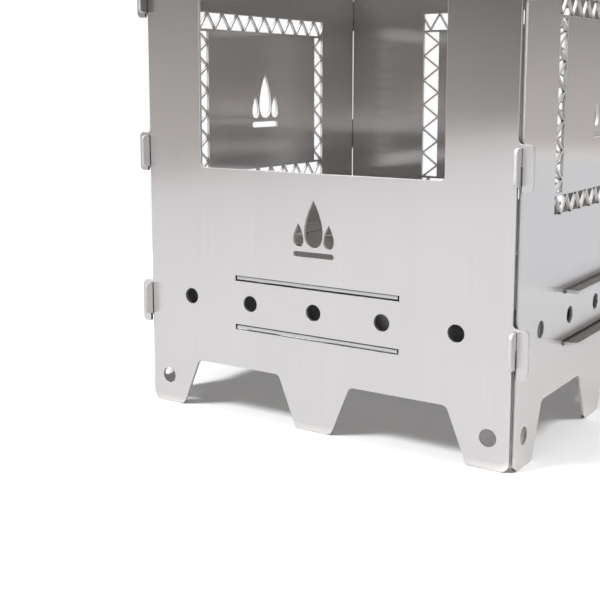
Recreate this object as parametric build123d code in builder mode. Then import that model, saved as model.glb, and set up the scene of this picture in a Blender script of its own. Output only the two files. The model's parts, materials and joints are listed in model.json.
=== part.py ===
from build123d import *
import os
from math import atan2, ceil, degrees, hypot, isclose

# A square box stove of flat steel sheets. Four walls hook into each other at open corners, two
# plates pass their tabs through slots in the walls, and two crossed bars carry the pot.
# Millimetres. +Z is up, the floor is Z = 0, and the wall with the feed window faces -Y.

# ---------------------------------------------------------------- sheet and walls
sheet = 2.0
plate_width = 250.0
wall_height = 300.0
corner_gap = 0.3
plate_half = plate_width / 2
inner_half = plate_half + corner_gap
outer_half = inner_half + sheet
top_corner_round = 5.0

# ---------------------------------------------------------------- feet
foot_width = 24.8
arch_height = 31.4
arch_lean = 12.9
foot_corner_round = 5.0
arch_round = 4.0

# ---------------------------------------------------------------- hooks at the corners
# Front and rear hooks come down over the side walls, whose own hooks point up between them.
lap_clearance = 0.3
lap_width = sheet + 2 * lap_clearance
hook_overhang = 8.8
hook_end = plate_half + hook_overhang
hook_round = 3.0
hook_root_round = 2.6
prong_tip_round = 0.8
foot_lap = 67.5
middle_lap = 164.2
top_lap = 2 * middle_lap - foot_lap
down_hook_root = 12.0
foot_down_prong = 15.2
down_prong = 12.6
up_hook_root = 9.8
up_prong = 10.3

# ---------------------------------------------------------------- plates and their slots
# The plates lie low in the slots of the side walls, which carry them. The front and rear slots
# reach further down below each plate, and the tabs in them end inside the wall's outer face.
grate_height = 87.3
ash_height = 56.4
slot_length = 114.8
slot_play = 1.3
slot_height = sheet + slot_play
slot_floor_gap = 0.3
loose_ash_gap = 0.7
loose_grate_gap = 0.95
slot_end_gap = 1.1
tab_recess = 0.4
tab_overhang = 8.6
tab_width = slot_length - 2 * slot_end_gap
tab_end = outer_half + tab_overhang
grate_tab_round = 1.2
ash_tab_round = 4.5
grate_hole = 12.0
grate_holes_across = 5
grate_hole_pitch = 50.0

# ---------------------------------------------------------------- round holes in the walls
air_hole = 10.0
air_hole_pitch = 46.25
air_hole_count = 5
air_hole_height = 72.8
foot_hole = 10.0
foot_hole_inset = 12.5
foot_hole_height = 17.65

# ---------------------------------------------------------------- feed window
window_width = 167.6
window_sill = 155.4
window_top_margin = 41.2
window_round = 2.5

# ---------------------------------------------------------------- lattice frames
lattice_bar = 1.3
corner_bar = 1.8
side_panel_width = 132.8
side_panel_sill = 145.1
side_panel_top_margin = 55.9
side_panel_height = wall_height - side_panel_top_margin - side_panel_sill
side_cells = (8, 6)
side_strips = (10.7, 11.5)
rear_panel_width = 93.0
rear_panel_sill = 131.5
rear_panel_top_margin = 50.9
rear_panel_height = wall_height - rear_panel_top_margin - rear_panel_sill
rear_cells = (6, 6)
rear_strips = (12.4, 13.2)

# ---------------------------------------------------------------- fire signs
# The front sign stands midway between the grate slot and the window, the others mid-panel.
sign_height = 34.0
sign_width = 28.2
side_sign_scale = 1.13
ember_height = 3.4
ember_gap = 2.6

# ---------------------------------------------------------------- pot rests
rest_height = 30.0
rest_rise = 10.0
rest_notch = 10.0
rest_round = 3.0
rest_seat = wall_height - rest_notch
rest_bottom = wall_height + rest_rise - rest_height
rest_lap = rest_bottom + rest_height / 2

# Each wall is drawn on its inner face, seen from outside, and grows outward.
front_plane = Plane(origin=(0, -inner_half, 0), x_dir=(1, 0, 0), z_dir=(0, -1, 0))
rear_plane = Plane(origin=(0, inner_half, 0), x_dir=(-1, 0, 0), z_dir=(0, 1, 0))
left_plane = Plane(origin=(-inner_half, 0, 0), x_dir=(0, -1, 0), z_dir=(-1, 0, 0))
right_plane = Plane(origin=(inner_half, 0, 0), x_dir=(0, 1, 0), z_dir=(1, 0, 0))


def corners(x=None, y=None):
    """Corners of the sketch being drawn that lie at this distance from its middle, or height."""
    return [
        corner
        for corner in vertices()
        if (x is None or isclose(abs(corner.X), x, abs_tol=1e-4))
        and (y is None or isclose(corner.Y, y, abs_tol=1e-4))
    ]


def wall_outline():
    """Plate standing on three feet, drawn as its right half and mirrored."""
    with BuildLine() as edge:
        Polyline(
            (0, 0),
            (foot_width / 2, 0),
            (foot_width / 2 + arch_lean, arch_height),
            (plate_half - foot_width - arch_lean, arch_height),
            (plate_half - foot_width, 0),
            (plate_half, 0),
            (plate_half, wall_height),
            (0, wall_height),
        )
        mirror(about=Plane.YZ)
    make_face(edge.edges())
    fillet(corners(x=plate_half, y=0), foot_corner_round)
    fillet(corners(x=plate_half, y=wall_height), top_corner_round)
    fillet([c for c in corners(y=0) if abs(c.X) < plate_half - foot_width / 2], arch_round)
    fillet(corners(y=arch_height), arch_round)


def hooks(root_side, reaches):
    """Hooks past both edges of the plate, one for each (lap height, root reach, prong reach).

    Each is joined to the plate on one side of its lap, above it for root_side 1 and below it
    for -1, and ends in a free prong on the other side, with the mating sheet between.
    """
    for lap, root_reach, prong_reach in reaches:
        root_start = lap + root_side * lap_clearance / 2
        root_end = lap + root_side * root_reach
        prong_end = lap - root_side * prong_reach
        with BuildLine() as edge:
            Polyline(
                (plate_half - sheet, root_start),
                (plate_half - sheet, root_end),
                (hook_end, root_end),
                (hook_end, prong_end),
                (plate_half + lap_width, prong_end),
                (plate_half + lap_width, root_start),
                close=True,
            )
        make_face(edge.edges())
    mirror(about=Plane.YZ)
    for lap, root_reach, prong_reach in reaches:
        fillet(corners(x=plate_half, y=lap + root_side * root_reach), hook_root_round)
        fillet(corners(x=plate_half + lap_width, y=lap - root_side * prong_reach), prong_tip_round)
    fillet(corners(x=hook_end), hook_round)


def wall_openings(ash_gap, grate_gap):
    """Slots for the two plates, air holes, a hole in each corner foot and a pot rest notch.

    Each slot starts this gap below its plate.
    """
    for slot_floor in (ash_height - ash_gap, grate_height - grate_gap):
        with Locations((0, slot_floor)):
            Rectangle(
                slot_length,
                slot_height,
                align=(Align.CENTER, Align.MIN),
                mode=Mode.SUBTRACT,
            )
    with Locations((0, air_hole_height)):
        with GridLocations(air_hole_pitch, 0, air_hole_count, 1):
            Circle(air_hole / 2, mode=Mode.SUBTRACT)
    foot_hole_offset = plate_half - foot_hole_inset
    with Locations((-foot_hole_offset, foot_hole_height), (foot_hole_offset, foot_hole_height)):
        Circle(foot_hole / 2, mode=Mode.SUBTRACT)
    with Locations((0, rest_seat - lap_clearance / 2)):
        Rectangle(
            lap_width,
            wall_height,
            align=(Align.CENTER, Align.MIN),
            mode=Mode.SUBTRACT,
        )


def lattice_strip(length, width, pitch):
    """Openings of one straight lattice strip along X, whose bars zig-zag from edge to edge.

    The outer edge is -Y. The middle and both ends of the zig-zag stand on it.
    """
    half_pitch = pitch / 2
    steps = 4 * ceil(length / pitch / 2 - 1e-6)
    lean = degrees(atan2(width, half_pitch))
    bar_length = hypot(width, half_pitch) + 2 * lattice_bar
    with BuildSketch() as strip:
        Rectangle(length, width)
        for first, side in ((0, 1), (1, -1)):
            middles = [((step + 0.5 - steps / 2) * half_pitch, 0) for step in range(first, steps, 2)]
            with Locations(*middles):
                Rectangle(bar_length, lattice_bar, rotation=side * lean, mode=Mode.SUBTRACT)
    return strip.sketch


def lattice_frame(width, height, cells, strips):
    """Openings of a frame of four lattice strips round a plain panel, centred on the origin.

    The strips above and below the panel run into the corners. A short bar closes each upright.
    """
    cells_across, cells_up = cells
    level_strip, upright_strip = strips
    level = lattice_strip(width + 2 * upright_strip, level_strip, width / cells_across)
    upright = lattice_strip(
        height - 2 * corner_bar, upright_strip, (height - corner_bar) / cells_up
    )
    across = (width + upright_strip) / 2
    up = (height + level_strip) / 2
    with BuildSketch() as frame:
        with Locations((0, -up)):
            add(level)
        with Locations((0, up)):
            add(level, rotation=180)
        with Locations((across, 0)):
            add(upright, rotation=90)
        with Locations((-across, 0)):
            add(upright, rotation=-90)
    return frame.sketch


def flame(width, height):
    """One upright teardrop flame standing on the origin."""
    bulge = width * 2 / 3
    with BuildSketch() as drop:
        with BuildLine():
            Bezier((0, 0), (bulge, 0), (bulge, height / 2), (0, height))
            mirror(about=Plane.YZ)
        make_face()
    return drop.sketch


def fire_sign(scale_by):
    """Three plain flames over a bar of embers, standing on the origin."""
    width = sign_width * scale_by
    height = sign_height * scale_by
    ember = ember_height * scale_by
    flame_base = ember + ember_gap * scale_by
    tall_flame = height - flame_base
    low_flame = tall_flame / 2
    low_width = width / 4
    with BuildSketch() as sign:
        with Locations((0, ember / 2)):
            SlotOverall(width, ember)
        with Locations((0, flame_base)):
            add(flame(width / 2.2, tall_flame))
        with Locations((-width * 3 / 8, flame_base), (width * 3 / 8, flame_base)):
            add(flame(low_width, low_flame))
    return sign.sketch


side_lattice = lattice_frame(side_panel_width, side_panel_height, side_cells, side_strips)
rear_lattice = lattice_frame(rear_panel_width, rear_panel_height, rear_cells, rear_strips)
front_sign = fire_sign(1)
side_sign = fire_sign(side_sign_scale)
grate_slot_top = grate_height - loose_grate_gap + slot_height
front_sign_sill = (grate_slot_top + window_sill - sign_height) / 2
side_panel_middle = side_panel_sill + side_panel_height / 2
rear_panel_middle = rear_panel_sill + rear_panel_height / 2
side_sign_drop = side_sign_scale * sign_height / 2

down_hooks = (
    (foot_lap, down_hook_root, foot_down_prong),
    (middle_lap, down_hook_root, down_prong),
    (top_lap, down_hook_root, down_prong),
)
up_hooks = tuple((lap, up_hook_root, up_prong) for lap in (foot_lap, middle_lap, top_lap))


# ---------------------------------------------------------------- front wall
with BuildPart() as front_panel:
    with BuildSketch(front_plane):
        wall_outline()
        hooks(1, down_hooks)
        wall_openings(loose_ash_gap, loose_grate_gap)
        window_height = wall_height - window_top_margin - window_sill
        with Locations((0, window_sill + window_height / 2)):
            RectangleRounded(window_width, window_height, window_round, mode=Mode.SUBTRACT)
        with Locations((0, front_sign_sill)):
            add(front_sign, mode=Mode.SUBTRACT)
    extrude(amount=sheet)

# ---------------------------------------------------------------- rear wall
with BuildPart() as rear_panel:
    with BuildSketch(rear_plane):
        wall_outline()
        hooks(1, down_hooks)
        wall_openings(loose_ash_gap, loose_grate_gap)
        with Locations((0, rear_panel_middle)):
            add(rear_lattice, mode=Mode.SUBTRACT)
        with Locations((0, rear_panel_middle - side_sign_drop)):
            add(side_sign, mode=Mode.SUBTRACT)
    extrude(amount=sheet)


def side_wall():
    """Everything cut in a side wall; the two are alike."""
    wall_outline()
    hooks(-1, up_hooks)
    wall_openings(slot_floor_gap, slot_floor_gap)
    with Locations((0, side_panel_middle)):
        add(side_lattice, mode=Mode.SUBTRACT)
    with Locations((0, side_panel_middle - side_sign_drop)):
        add(side_sign, mode=Mode.SUBTRACT)


# ---------------------------------------------------------------- side walls
with BuildPart() as left_panel:
    with BuildSketch(left_plane):
        side_wall()
    extrude(amount=sheet)

with BuildPart() as right_panel:
    with BuildSketch(right_plane):
        side_wall()
    extrude(amount=sheet)


def plate_outline(tab_round):
    """Plate with a tab through each wall: inside the face at front and rear, proud at the sides."""
    Rectangle(2 * tab_end, tab_width)
    fillet(vertices(), tab_round)
    Rectangle(plate_width, plate_width)
    Rectangle(tab_width, 2 * (outer_half - tab_recess))


# ---------------------------------------------------------------- plates
with BuildPart() as fire_grate:
    with BuildSketch(Plane.XY.offset(grate_height)):
        plate_outline(grate_tab_round)
        with GridLocations(
            grate_hole_pitch, grate_hole_pitch, grate_holes_across, grate_holes_across
        ):
            Circle(grate_hole / 2, mode=Mode.SUBTRACT)
    extrude(amount=sheet)

with BuildPart() as ash_plate:
    with BuildSketch(Plane.XY.offset(ash_height)):
        plate_outline(ash_tab_round)
    extrude(amount=sheet)


def rest_bar(lap_side):
    """Pot rest hooked over two walls, with a lap at its middle open upward (1) or downward (-1)."""
    with Locations((0, rest_bottom)):
        RectangleRounded(2 * hook_end, rest_height, rest_round, align=(Align.CENTER, Align.MIN))
    wall_middle = inner_half + sheet / 2
    with Locations((-wall_middle, rest_seat), (wall_middle, rest_seat)):
        Rectangle(
            lap_width,
            rest_height,
            align=(Align.CENTER, Align.MAX),
            mode=Mode.SUBTRACT,
        )
    lap_edge = Align.MIN if lap_side > 0 else Align.MAX
    with Locations((0, rest_lap - lap_side * lap_clearance / 2)):
        Rectangle(lap_width, rest_height, align=(Align.CENTER, lap_edge), mode=Mode.SUBTRACT)


# ---------------------------------------------------------------- pot rests
with BuildPart() as pot_rest_lower:
    with BuildSketch(Plane.XZ.offset(-sheet / 2)):
        rest_bar(1)
    extrude(amount=sheet)

with BuildPart() as pot_rest_upper:
    with BuildSketch(Plane.YZ.offset(-sheet / 2)):
        rest_bar(-1)
    extrude(amount=sheet)


pieces = {
    "front_panel": front_panel,
    "rear_panel": rear_panel,
    "left_panel": left_panel,
    "right_panel": right_panel,
    "fire_grate": fire_grate,
    "ash_plate": ash_plate,
    "pot_rest_lower": pot_rest_lower,
    "pot_rest_upper": pot_rest_upper,
}
os.makedirs("parts", exist_ok=True)
for name, piece in pieces.items():
    piece.part.label = name
    export_step(piece.part, f"parts/{name}.step")
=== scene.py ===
import json
import math

import bpy
from mathutils import Euler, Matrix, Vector
from mathutils.geometry import tessellate_polygon


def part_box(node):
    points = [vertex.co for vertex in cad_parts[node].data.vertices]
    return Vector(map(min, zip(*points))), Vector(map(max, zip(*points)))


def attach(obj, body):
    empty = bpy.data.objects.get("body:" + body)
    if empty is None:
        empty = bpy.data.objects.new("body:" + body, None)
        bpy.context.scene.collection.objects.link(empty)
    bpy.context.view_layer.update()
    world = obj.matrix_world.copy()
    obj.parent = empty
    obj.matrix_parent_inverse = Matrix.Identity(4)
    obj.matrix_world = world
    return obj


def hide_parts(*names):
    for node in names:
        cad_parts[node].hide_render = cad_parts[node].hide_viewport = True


# A flat-pack box stove of brushed stainless sheet, on a white studio floor. Metres, +Z up.
# Every sheet is built again from its CAD outline with the softened edges of tumbled laser-cut steel.
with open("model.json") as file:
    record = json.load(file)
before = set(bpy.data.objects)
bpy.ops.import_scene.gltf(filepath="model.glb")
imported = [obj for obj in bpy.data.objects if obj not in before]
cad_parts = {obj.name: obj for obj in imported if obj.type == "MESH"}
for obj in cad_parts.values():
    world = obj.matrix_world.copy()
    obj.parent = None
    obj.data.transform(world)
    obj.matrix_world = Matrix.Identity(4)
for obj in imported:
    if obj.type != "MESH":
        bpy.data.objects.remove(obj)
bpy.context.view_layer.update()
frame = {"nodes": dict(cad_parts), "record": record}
scene = bpy.context.scene
X, Y, Z = range(3)
WHITE = (1.0, 1.0, 1.0, 1.0)

# ---------------------------------------------------------------- camera
CAMERA_PLACE = (0.3318, -0.6364, 0.2069)
CAMERA_YAW = 33.82
CAMERA_PITCH = 8.46
CAMERA_LENS = 63.02
CAMERA_SENSOR = 36.0
CAMERA_SHIFT = -0.10
CAMERA_NEAR = 0.01

# ---------------------------------------------------------------- floor
# The floor is matt near the stove and plain white further out, so no edge of it shows.
FLOOR_HALF = 6.0
FLOOR_COLOUR = (0.88, 0.88, 0.88, 1.0)
FLOOR_LIFT = 0.12
FLOOR_WHITE_FROM_TO = (0.5, 0.9)
# Half the width of the ground that the walls stand on. Outside it the metal shows the floor turning
# white over the first of these widths, or beyond the stove's right side over the second. The one
# turns into the other within the last distance of that side.
FOOTPRINT = -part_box("front_panel")[0].y
FOOTPRINT_FADE = (0.012, 0.30)
FOOTPRINT_TURN = 0.01
# The white that the metal shows is dimmer to the left. To the right it carries painted shade, dimmer
# and cooler, as where less and cooler light falls.
FRONT_WHITE = (1.0, 1.0, 1.028, 1.0)
LEFT_WHITE = 0.80
LEFT_WHITE_TO = -0.25
RIGHT_PAINTED_SHADE = (0.84, 0.855, 0.90, 1.0)
RIGHT_PAINTED_SHADE_FROM_TO = (0.10, 0.20)

# ---------------------------------------------------------------- room
# The white floor of the room ends at these walls, which only the metal shows. They are dimmest
# towards the front and higher up, and the floor's white fades up them.
ROOM_LOW = (-1.2, -4.5)
ROOM_HIGH = (2.6, 2.2)
ROOM_HEIGHT = 1.2
ROOM_COLOUR = (1.0, 0.955, 0.935, 1.0)
# The brightness above the fade, and the fade's height: at the front, then at the sides. Behind the
# stove both gain a little more.
ROOM_LEVEL = (0.27, 0.57)
ROOM_FADE = (0.06, 0.008)
ROOM_FROM_TO = (-3.4, -1.3)
ROOM_BACK_LEVEL = 0.05
ROOM_BACK_FADE = 0.042
ROOM_BACK_FROM_TO = (0.0, 2.0)
ROOM_DIM = (1.0, 0.22)
ROOM_DIM_FROM_TO = (0.02, 0.75)

# ---------------------------------------------------------------- light
AMBIENT = 0.13
AMBIENT_COLOUR = (1.0, 0.95, 0.93, 1.0)
# How bright the metal shows the sky, which the camera sees as plain white.
SKY = 0.86
LIGHT_AIM = (0.0, 0.0, 0.1)
LIGHT_DISTANCE = 2.6
# Each soft light's name, its lean along x and y for each metre of height above its aim, its size,
# its power, and the share of that in a second lamp, which metal may mirror.
# The two lamps of a light have to stand at exactly one place. There the faces' sharp reflections
# show neither of them, and only the blurred ones of the cut edges show the second. With the two
# 10 mm apart the faces mirror it too, and burn out when they are seen from above.
LIGHTS = (
    ("key", (-0.47, -0.70), 0.75, 67.0, 0.7),
    ("side", (0.57, 0.07), 0.75, 40.0, 0.6),
    ("top", (0.05, -0.1), 1.6, 9.0, 1.0),
)

# ---------------------------------------------------------------- steel
EDGE_ROUND = 0.00025
EDGE_STEPS = 3
MITRE_LIMIT = 2.5
SHARP_ANGLE = math.radians(35)
# A corner this close to the top counts as on a sheet's upper face.
FLAT_WITHIN = 0.00001
# Decimals to which two corners have to be equal to be one.
CORNER_DIGITS = 7
RELIEF_STRENGTH = 0.1
# Sheen is the share of a finish that isn't bare metal. Scales are those of a noise, along an axis
# and across it, and shades multiply the colour at the noise's low and high places.
STEEL = (0.694, 0.677, 0.664)
FACE_SHEEN = 0.08
FACE_ROUGHNESS = (0.145, 0.19)
FACE_ANISOTROPY = 1.0
GRAIN_SCALES = (14.0, 1500.0)
GRAIN_DETAIL = 4.0
GRAIN_SHADES = (0.955, 1.045)
GRAIN_DEPTH = 0.00001
STREAK_SCALES = (4.0, 60.0)
STREAK_SHADES = (0.98, 1.02)
CLOUD_SCALES = (9.0, 9.0)
CLOUD_SHADES = (0.985, 1.015)
EDGE_STEEL = (0.69, 0.68, 0.672)
EDGE_SHEEN = 0.22
EDGE_ROUGHNESS = (0.42, 0.54)
EDGE_ANISOTROPY = 0.75
CUT_SCALES = (150.0, 3600.0)
CUT_SHADES = (0.86, 1.1)
CUT_DEPTH = 0.00004
WEAR_SCALES = (700.0, 700.0)
WEAR_SHADES = (0.93, 1.07)
# Painted shade: a cut edge's colour is darkened where other metal closes it in, as in a slot, a lap or
# under a foot.
CREVICE_REACH = 0.004
CREVICE_SAMPLES = 12
PAINTED_CREVICE_SHADES = (0.12, 1.0)
CREVICE_FROM_TO = (0.35, 0.88)

# Each sheet with the axis that its faces look along and the axis of its grain.
SHEETS = {
    "front_panel": (Y, Z),
    "rear_panel": (Y, Z),
    "left_panel": (X, Z),
    "right_panel": (X, Z),
    "fire_grate": (Z, Y),
    "ash_plate": (Z, Y),
    "pot_rest_lower": (Y, X),
    "pot_rest_upper": (X, Y),
}


class Nodes:
    """Short calls for building one node tree."""

    def __init__(self, tree):
        self.tree = tree
        tree.nodes.clear()

    def add(self, kind, **settings):
        node = self.tree.nodes.new(kind)
        for key, value in settings.items():
            setattr(node, key, value)
        return node

    def link(self, source, target):
        self.tree.links.new(source, target)

    def feed(self, socket, value):
        """Links a socket, or sets it to a number or colour."""
        if hasattr(value, "links"):
            self.link(value, socket)
        else:
            socket.default_value = value

    def math(self, operation, *values):
        node = self.add("ShaderNodeMath", operation=operation)
        for socket, value in zip(node.inputs, values):
            self.feed(socket, value)
        return node.outputs[0]

    def span(self, value, to_low, to_high, low=0.0, high=1.0, smooth=False):
        """Maps low..high to to_low..to_high, held at both ends."""
        kind = "SMOOTHSTEP" if smooth else "LINEAR"
        node = self.add("ShaderNodeMapRange", interpolation_type=kind)
        self.link(value, node.inputs["Value"])
        limits = {"From Min": low, "From Max": high, "To Min": to_low, "To Max": to_high}
        for socket, limit in limits.items():
            node.inputs[socket].default_value = limit
        return node.outputs["Result"]

    def place(self):
        """Where a ray meets the object, in the object's own metres."""
        return self.add("ShaderNodeTexCoord").outputs["Object"]

    def coordinates(self):
        """The same place as x, y and z."""
        split = self.add("ShaderNodeSeparateXYZ")
        self.link(self.place(), split.inputs[0])
        return [split.outputs[name] for name in "XYZ"]

    def noise(self, axis, along, across, detail=2.0):
        """Noise with one scale along an axis and another across it."""
        mapping = self.add("ShaderNodeMapping")
        mapping.inputs["Scale"].default_value = tuple(along if a == axis else across for a in range(3))
        self.link(self.place(), mapping.inputs["Vector"])
        texture = self.add("ShaderNodeTexNoise")
        texture.inputs["Scale"].default_value = 1.0
        texture.inputs["Detail"].default_value = detail
        self.link(mapping.outputs[0], texture.inputs["Vector"])
        return texture.outputs["Fac"]

    def tinted(self, colour, shade):
        """A colour multiplied by a varying shade."""
        mix = self.add("ShaderNodeMix", data_type="RGBA", blend_type="MULTIPLY")
        mix.inputs["Factor"].default_value = 1.0
        mix.inputs["A"].default_value = (*colour, 1.0)
        self.link(shade, mix.inputs["B"])
        return mix.outputs["Result"]

    def blended(self, share, first, second):
        """The first colour, turning into the second with this share."""
        mix = self.add("ShaderNodeMix", data_type="RGBA")
        self.link(share, mix.inputs["Factor"])
        mix.inputs["A"].default_value = first
        mix.inputs["B"].default_value = second
        return mix.outputs["Result"]

    def turned(self, axis):
        """Direction along the surface, square to this axis."""
        cross = self.add("ShaderNodeVectorMath", operation="CROSS_PRODUCT")
        self.link(self.add("ShaderNodeNewGeometry").outputs["Normal"], cross.inputs[0])
        cross.inputs[1].default_value = tuple(float(a == axis) for a in range(3))
        return cross.outputs[0]

    def direct(self):
        """1 for rays from the camera or through a glass surface, else 0."""
        path = self.add("ShaderNodeLightPath").outputs
        return self.math("MAXIMUM", path["Is Camera Ray"], path["Is Transmission Ray"])

    def glossy(self):
        """1 for rays from a gloss surface, else 0."""
        return self.add("ShaderNodeLightPath").outputs["Is Glossy Ray"]

    def seen(self):
        """1 for rays that show the surface, directly or in the metal, else 0."""
        return self.math("MAXIMUM", self.direct(), self.glossy())

    def glow(self, colour, strength):
        emission = self.add("ShaderNodeEmission")
        self.feed(emission.inputs["Color"], colour)
        self.feed(emission.inputs["Strength"], strength)
        return emission.outputs[0]

    def output(self, shader, kind="ShaderNodeOutputMaterial"):
        self.link(shader, self.add(kind).inputs["Surface"])


def new_material(name):
    material = bpy.data.materials.new(name)
    material.use_nodes = True
    return material, Nodes(material.node_tree)


# ---------------------------------------------------------------- the two finishes of a sheet
def steel(n, colour, sheen, rough, height, depth, anisotropy, tangent):
    """Steel with a varying colour and roughness, fine relief and stretched highlights."""
    bump = n.add("ShaderNodeBump")
    bump.inputs["Strength"].default_value = RELIEF_STRENGTH
    bump.inputs["Distance"].default_value = depth
    n.link(height, bump.inputs["Height"])
    shader = n.add("ShaderNodeBsdfPrincipled")
    shader.inputs["Metallic"].default_value = 1.0 - sheen
    shader.inputs["Anisotropic"].default_value = anisotropy
    n.link(colour, shader.inputs["Base Color"])
    n.link(rough, shader.inputs["Roughness"])
    n.link(bump.outputs[0], shader.inputs["Normal"])
    n.link(tangent, shader.inputs["Tangent"])
    n.output(shader.outputs[0])


def brushed_face(grain_axis):
    """Brushed stainless sheet: fine grain along one axis, with faint broad streaks and clouds."""
    material, n = new_material("brushed_steel_" + "xyz"[grain_axis])
    grain = n.noise(grain_axis, *GRAIN_SCALES, detail=GRAIN_DETAIL)
    streaks = n.span(n.noise(grain_axis, *STREAK_SCALES), *STREAK_SHADES)
    clouds = n.span(n.noise(grain_axis, *CLOUD_SCALES), *CLOUD_SHADES)
    shade = n.math("MULTIPLY", n.span(grain, *GRAIN_SHADES), streaks)
    colour = n.tinted(STEEL, n.math("MULTIPLY", shade, clouds))
    rough = n.span(grain, *FACE_ROUGHNESS)
    across = n.turned(grain_axis)
    steel(n, colour, FACE_SHEEN, rough, grain, GRAIN_DEPTH, FACE_ANISOTROPY, across)
    return material


def cut_edge(face_axis):
    """Tumbled laser-cut edge: faint striations straight through the sheet, and painted shade where
    other metal closes it in.
    """
    material, n = new_material("cut_edge_" + "xyz"[face_axis])
    cut = n.noise(face_axis, *CUT_SCALES)
    wear = n.span(n.noise(face_axis, *WEAR_SCALES), *WEAR_SHADES)
    # Painted shade: ambient occlusion darkens the edge's colour in slots, laps and under feet.
    occlusion = n.add("ShaderNodeAmbientOcclusion", samples=CREVICE_SAMPLES)
    occlusion.inputs["Distance"].default_value = CREVICE_REACH
    painted_crevice_shade = n.span(occlusion.outputs["AO"], *PAINTED_CREVICE_SHADES, *CREVICE_FROM_TO)
    shade = n.math("MULTIPLY", n.span(cut, *CUT_SHADES), wear)
    colour = n.tinted(EDGE_STEEL, n.math("MULTIPLY", shade, painted_crevice_shade))
    rough = n.span(cut, *EDGE_ROUGHNESS)
    along = n.turned(face_axis)
    steel(n, colour, EDGE_SHEEN, rough, cut, CUT_DEPTH, EDGE_ANISOTROPY, along)
    return material


# ---------------------------------------------------------------- the sheets
def sheet_loops(node, face_axis):
    """Closed outlines of a CAD sheet, read from its upper flat face, metal on the left of each."""
    mesh = frame["nodes"][node].data
    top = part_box(node)[1][face_axis]
    across, up = (face_axis + 1) % 3, (face_axis + 2) % 3
    onward = {}
    for polygon in mesh.polygons:
        corners = [mesh.vertices[index].co for index in polygon.vertices]
        if min(corner[face_axis] for corner in corners) < top - FLAT_WITHIN:
            continue
        points = [
            (round(corner[across], CORNER_DIGITS), round(corner[up], CORNER_DIGITS))
            for corner in corners
        ]
        for start, end in zip(points, points[1:] + points[:1]):
            if start in onward.get(end, ()):
                onward[end].remove(start)
            else:
                onward.setdefault(start, []).append(end)
    onward = {start: ends[0] for start, ends in onward.items() if ends}
    loops = []
    while onward:
        start = next(iter(onward))
        loop = []
        while start in onward:
            loop.append(Vector(start))
            start = onward.pop(start)
        loops.append(loop)
    return loops


def inward(loop):
    """For each corner of an outline, the step that moves both its edges 1 m into the metal."""
    steps = []
    for before, here, after in zip(loop[-1:] + loop[:-1], loop, loop[1:] + loop[:1]):
        first, second = (here - before).normalized(), (after - here).normalized()
        side = Vector((-first.y, first.x)) + Vector((-second.y, second.x))
        reach = 2 / max(side.length_squared, 4 / MITRE_LIMIT**2)
        steps.append(side * reach)
    return steps


def edge_profile(half):
    """(inset, height) down a sheet's rounded edge, from the upper face to the lower one."""
    turns = [math.pi / 2 * step / EDGE_STEPS for step in range(EDGE_STEPS, -1, -1)]
    upper = [
        (EDGE_ROUND * (1 - math.cos(turn)), half - EDGE_ROUND * (1 - math.sin(turn)))
        for turn in turns
    ]
    return upper + [(inset, -height) for inset, height in reversed(upper)]


def at_level(flat, level, face_axis):
    """Corner of a sheet, from its place on the flat outline and its level along the face axis."""
    corner = [level, level, level]
    corner[(face_axis + 1) % 3], corner[(face_axis + 2) % 3] = flat
    return corner


def strip_faces(rings):
    """Faces round an outline that join each ring of corners to the one below it."""
    faces = []
    for ring, below in zip(rings, rings[1:]):
        for i in range(len(ring)):
            j = (i + 1) % len(ring)
            faces.append((ring[i], below[i], below[j], ring[j]))
    return faces


def rounded_sheet(node, face_axis):
    """Mesh of a CAD sheet with rounded edges: flat faces in slot 0, edges in slot 1."""
    low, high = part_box(node)
    middle = (low[face_axis] + high[face_axis]) / 2
    profile = edge_profile((high[face_axis] - low[face_axis]) / 2)
    vertices, faces = [], []
    upper, lower, upper_outlines = [], [], []
    for loop in sheet_loops(node, face_axis):
        steps = inward(loop)
        outlines = [[p + step * inset for p, step in zip(loop, steps)] for inset, _ in profile]
        rings = []
        for outline, (_, height) in zip(outlines, profile):
            rings.append(range(len(vertices), len(vertices) + len(outline)))
            vertices += [at_level(flat, middle + height, face_axis) for flat in outline]
        faces += strip_faces(rings)
        upper += rings[0]
        lower += rings[-1]
        upper_outlines.append([flat.to_3d() for flat in outlines[0]])
    edge_faces = len(faces)
    for a, b, c in tessellate_polygon(upper_outlines):
        faces.append((upper[a], upper[b], upper[c]))
        faces.append((lower[c], lower[b], lower[a]))
    mesh = bpy.data.meshes.new(node + "_sheet")
    mesh.from_pydata(vertices, [], faces)
    mesh.set_sharp_from_angle(angle=SHARP_ANGLE)
    for polygon in mesh.polygons:
        polygon.material_index = int(polygon.index < edge_faces)
        polygon.use_smooth = polygon.index < edge_faces
    mesh.validate()
    return mesh


def body_of(node):
    """The moving body that a CAD node belongs to."""
    bodies = frame["record"]["behaviour"]["bodies"]
    return next(body for body, nodes in bodies.items() if node in nodes)


def add_object(name, data):
    made = bpy.data.objects.new(name, data)
    scene.collection.objects.link(made)
    return made


def add_mesh(name, vertices, faces, material):
    """A plain mesh object in the scene."""
    mesh = bpy.data.meshes.new(name)
    mesh.from_pydata(vertices, [], faces)
    mesh.materials.append(material)
    return add_object(name, mesh)


def add_sheet(node, face_axis, materials):
    """One steel sheet that stands for its CAD node."""
    mesh = rounded_sheet(node, face_axis)
    for material in materials:
        mesh.materials.append(material)
    piece = add_object(node + "_sheet", mesh)
    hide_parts(node)
    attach(piece, body_of(node))


# ---------------------------------------------------------------- the floor and the room
def matt_floor(n):
    """Pale matt floor with its shadows, lifted a little where it is seen."""
    matt = n.add("ShaderNodeBsdfDiffuse")
    matt.inputs["Color"].default_value = FLOOR_COLOUR
    lift = n.glow(WHITE, n.math("MULTIPLY", n.seen(), FLOOR_LIFT))
    both = n.add("ShaderNodeAddShader")
    n.link(matt.outputs[0], both.inputs[0])
    n.link(lift, both.inputs[1])
    return both.outputs[0]


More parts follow.
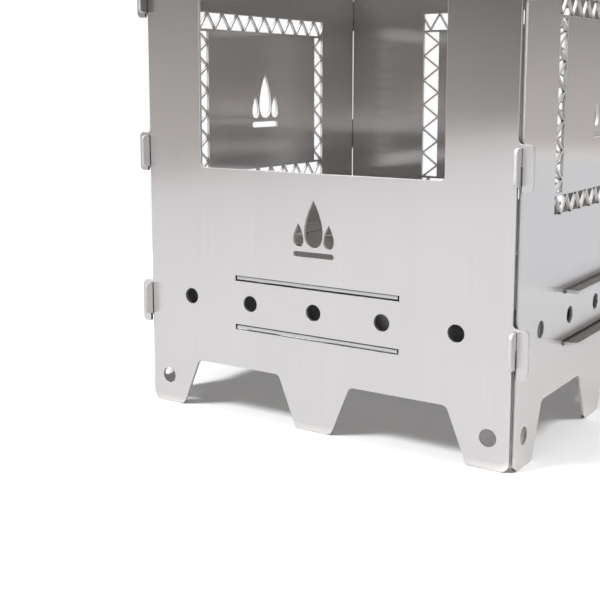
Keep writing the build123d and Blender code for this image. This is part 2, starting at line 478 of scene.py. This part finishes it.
def white_floor(n):
    """Plain white floor, with the tone that the metal shows to the left and painted shade that it shows
    to the right.
    """
    x = n.coordinates()[X]
    left = n.span(x, LEFT_WHITE, 1.0, ROOM_LOW[X], LEFT_WHITE_TO)
    # Painted shade: to the right the metal shows the white dimmer and cooler.
    right_painted_shade = n.math("MULTIPLY", n.span(x, 0.0, 1.0, *RIGHT_PAINTED_SHADE_FROM_TO), n.glossy())
    tone = n.blended(right_painted_shade, FRONT_WHITE, RIGHT_PAINTED_SHADE)
    return n.glow(tone, n.math("MAXIMUM", left, n.direct()))


def white_share(n):
    """How white the floor is: far out when seen directly, and outside the stove in the metal."""
    distance = n.add("ShaderNodeVectorMath", operation="LENGTH")
    n.link(n.place(), distance.inputs[0])
    far = n.span(distance.outputs["Value"], 0.0, 1.0, *FLOOR_WHITE_FROM_TO, smooth=True)
    x, y, _ = n.coordinates()
    reach = n.math("MAXIMUM", n.math("ABSOLUTE", x), n.math("ABSOLUTE", y))
    beyond = n.math("SUBTRACT", reach, FOOTPRINT)
    width = n.span(x, *FOOTPRINT_FADE, FOOTPRINT - FOOTPRINT_TURN, FOOTPRINT + FOOTPRINT_TURN)
    outside = n.math("MINIMUM", n.math("MAXIMUM", n.math("DIVIDE", beyond, width), 0.0), 1.0)
    far_seen = n.math("MULTIPLY", far, n.direct())
    return n.math("MAXIMUM", far_seen, n.math("MULTIPLY", outside, n.glossy()))


def floor_material():
    """Matt floor that ends in plain white. The metal shows it white except under the stove."""
    material, n = new_material("floor")
    blend = n.add("ShaderNodeMixShader")
    n.link(white_share(n), blend.inputs["Fac"])
    n.link(matt_floor(n), blend.inputs[1])
    n.link(white_floor(n), blend.inputs[2])
    n.output(blend.outputs[0])
    return material


def add_floor():
    half = FLOOR_HALF
    corners = [(-half, -half, 0), (half, -half, 0), (half, half, 0), (-half, half, 0)]
    add_mesh("floor", corners, [(0, 1, 2, 3)], floor_material())


def along_room(n, y, front_and_sides, back_gain):
    """A value that changes from the front of the room to its sides, and gains more at the back."""
    value = n.span(y, *front_and_sides, *ROOM_FROM_TO)
    return n.math("ADD", value, n.span(y, 0.0, back_gain, *ROOM_BACK_FROM_TO))


def room_material():
    """Dimmer room beyond the floor, with the floor's white fading up into it."""
    material, n = new_material("room")
    _, y, z = n.coordinates()
    level = along_room(n, y, ROOM_LEVEL, ROOM_BACK_LEVEL)
    fade = along_room(n, y, ROOM_FADE, ROOM_BACK_FADE)
    climb = n.math("MINIMUM", n.math("DIVIDE", z, fade), 1.0)
    drop = n.math("MULTIPLY", climb, n.math("SUBTRACT", 1.0, level))
    dim = n.span(z, *ROOM_DIM, *ROOM_DIM_FROM_TO, smooth=True)
    lit = n.math("MULTIPLY", n.math("SUBTRACT", 1.0, drop), dim)
    n.output(n.glow(ROOM_COLOUR, lit))
    return material


def add_room():
    """Four plain walls round the floor, seen by the metal alone."""
    (x0, y0), (x1, y1) = ROOM_LOW, ROOM_HIGH
    corners = [(x0, y0), (x1, y0), (x1, y1), (x0, y1)]
    vertices = [(x, y, z) for z in (0.0, ROOM_HEIGHT) for x, y in corners]
    faces = [(i, (i + 1) % 4, (i + 1) % 4 + 4, i + 4) for i in range(4)]
    room = add_mesh("room", vertices, faces, room_material())
    room.visible_camera = False
    room.visible_diffuse = False
    room.visible_shadow = False


# ---------------------------------------------------------------- the light and the camera
def add_area(name, lean, size, power, mirrored):
    """A square lamp that shines at its aim from the side that it leans to."""
    data = bpy.data.lights.new(name, "AREA")
    data.shape = "SQUARE"
    data.size = size
    data.energy = power
    light = add_object(name, data)
    away = Vector((*lean, 1.0)).normalized()
    light.location = Vector(LIGHT_AIM) + away * LIGHT_DISTANCE
    light.rotation_euler = away.to_track_quat("Z", "Y").to_euler()
    light.visible_glossy = mirrored


def set_world():
    """White where it is seen, a little dimmer in the metal, and faint and warm where it only lights."""
    world = bpy.data.worlds.new("studio")
    world.use_nodes = True
    scene.world = world
    n = Nodes(world.node_tree)
    background = n.add("ShaderNodeBackground")
    level = n.math("SUBTRACT", n.span(n.seen(), AMBIENT, 1.0), n.span(n.glossy(), 0.0, 1.0 - SKY))
    n.link(level, background.inputs["Strength"])
    n.link(n.blended(n.seen(), AMBIENT_COLOUR, WHITE), background.inputs["Color"])
    n.output(background.outputs[0], "ShaderNodeOutputWorld")


def add_camera():
    data = bpy.data.cameras.new("camera")
    data.lens = CAMERA_LENS
    data.sensor_width = CAMERA_SENSOR
    data.shift_y = CAMERA_SHIFT
    data.clip_start = CAMERA_NEAR
    camera = add_object("camera", data)
    camera.location = CAMERA_PLACE
    turn = (math.radians(90 - CAMERA_PITCH), 0.0, math.radians(CAMERA_YAW))
    camera.rotation_euler = Euler(turn, "XYZ")
    scene.camera = camera


# ---------------------------------------------------------------- the scene
brushed = [brushed_face(axis) for axis in (X, Y, Z)]
cut = [cut_edge(axis) for axis in (X, Y, Z)]
for node, (face_axis, grain_axis) in SHEETS.items():
    add_sheet(node, face_axis, (brushed[grain_axis], cut[face_axis]))

add_floor()
add_room()
for name, lean, size, power, share in LIGHTS:
    if share < 1.0:
        add_area(name + "_light", lean, size, power * (1.0 - share), mirrored=False)
    add_area(name + "_glint", lean, size, power * share, mirrored=True)
set_world()
add_camera()
scene.view_settings.view_transform = "Standard"
